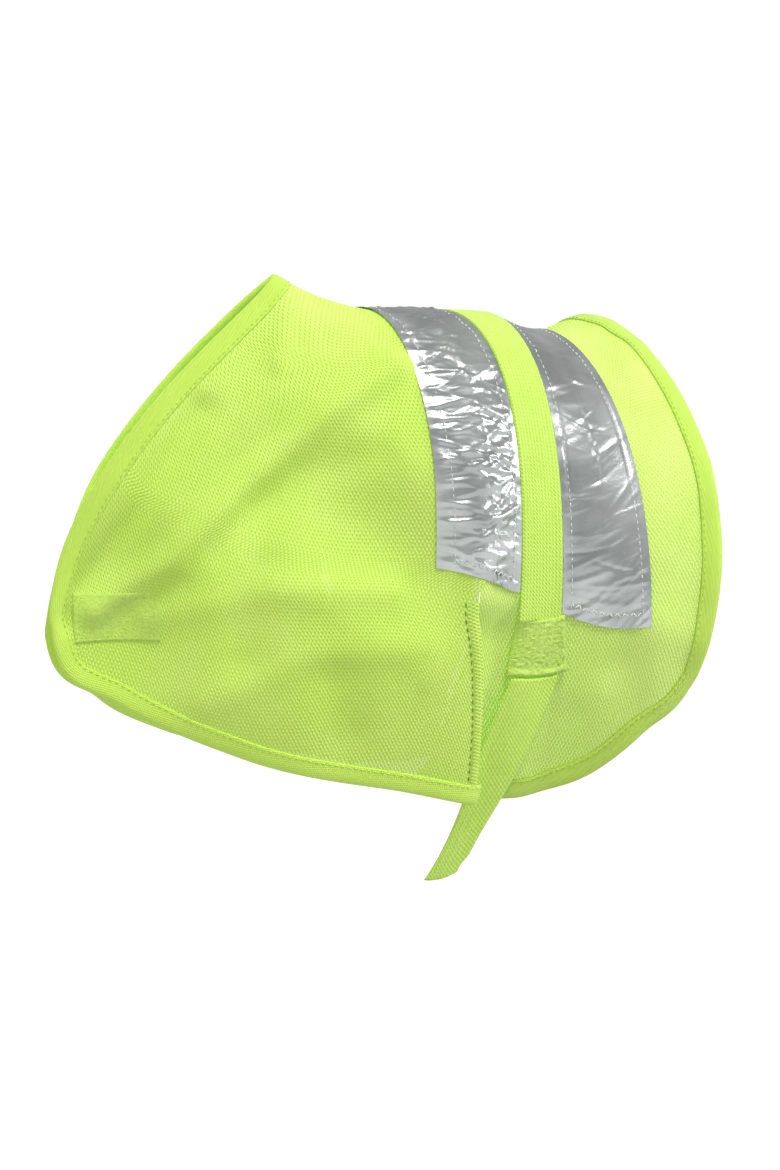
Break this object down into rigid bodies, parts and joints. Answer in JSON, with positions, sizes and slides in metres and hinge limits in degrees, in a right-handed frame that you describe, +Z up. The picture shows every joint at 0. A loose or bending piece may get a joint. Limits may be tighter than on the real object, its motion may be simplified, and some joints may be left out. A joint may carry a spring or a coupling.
{
  "type": "dog safety vest",
  "caption": "Fluorescent mesh safety vest for a dog: reflective tapes and a webbing band over the back, bound edges, chest flaps that close with hook-and-loop, and a belly strap.",
  "frame": {"origin": "the point of the spine under the middle of the back band", "axes": "+Z up, +X towards the tail, the dog's left side is -Y"},
  "size_m": [0.3518, 0.2492, 0.3172],
  "materials": {
    "mesh_cloth": "open knitted polyester mesh, fluorescent yellow-green",
    "edge_binding": "folded woven tape, fluorescent yellow-green",
    "reflective_tape": "metallised reflective tape, heat-sealed and creased",
    "webbing": "flat woven webbing, fluorescent yellow-green",
    "hook_and_loop": "napped hook-and-loop tape",
    "pale_thread": "sewing thread",
    "yellow_thread": "sewing thread"
  },
  "bodies": {
    "vest_body": {"back_panel": "mesh_cloth", "rear_binding": "edge_binding", "neck_binding": "edge_binding", "front_reflective_tape": "reflective_tape", "rear_reflective_tape": "reflective_tape", "back_band": "webbing", "front_tape_seam": "pale_thread", "rear_tape_seam": "pale_thread", "left_band_pad": "hook_and_loop", "right_band_pad": "hook_and_loop"},
    "left_flap": {"left_chest_flap": "mesh_cloth", "left_flap_binding": "edge_binding", "left_chest_hook_patch": "hook_and_loop", "left_chest_stitching": "yellow_thread"},
    "right_flap": {"right_chest_flap": "mesh_cloth", "right_flap_binding": "edge_binding", "right_chest_loop_patch": "hook_and_loop", "right_chest_stitching": "yellow_thread"},
    "left_strap": {"left_belly_strap": "webbing"}
  },
  "joints": [
    {"name": "left_flap_swing", "type": "hinge", "parent": "vest_body", "child": "left_flap", "pos_m": [-0.11743, -0.04517, -0.08139], "axis": [0.7754, -0.3797, -0.5046], "range_deg": [-80, 0]},
    {"name": "right_flap_swing", "type": "hinge", "parent": "vest_body", "child": "right_flap", "pos_m": [-0.11743, 0.04517, -0.08139], "axis": [0.7754, 0.3797, -0.5046], "range_deg": [0, 80]},
    {"name": "left_strap_swing", "type": "hinge", "parent": "vest_body", "child": "left_strap", "pos_m": [-0.0045, -0.0721, -0.1812], "axis": [1, 0, 0], "range_deg": [-100, 0]}
  ]
}
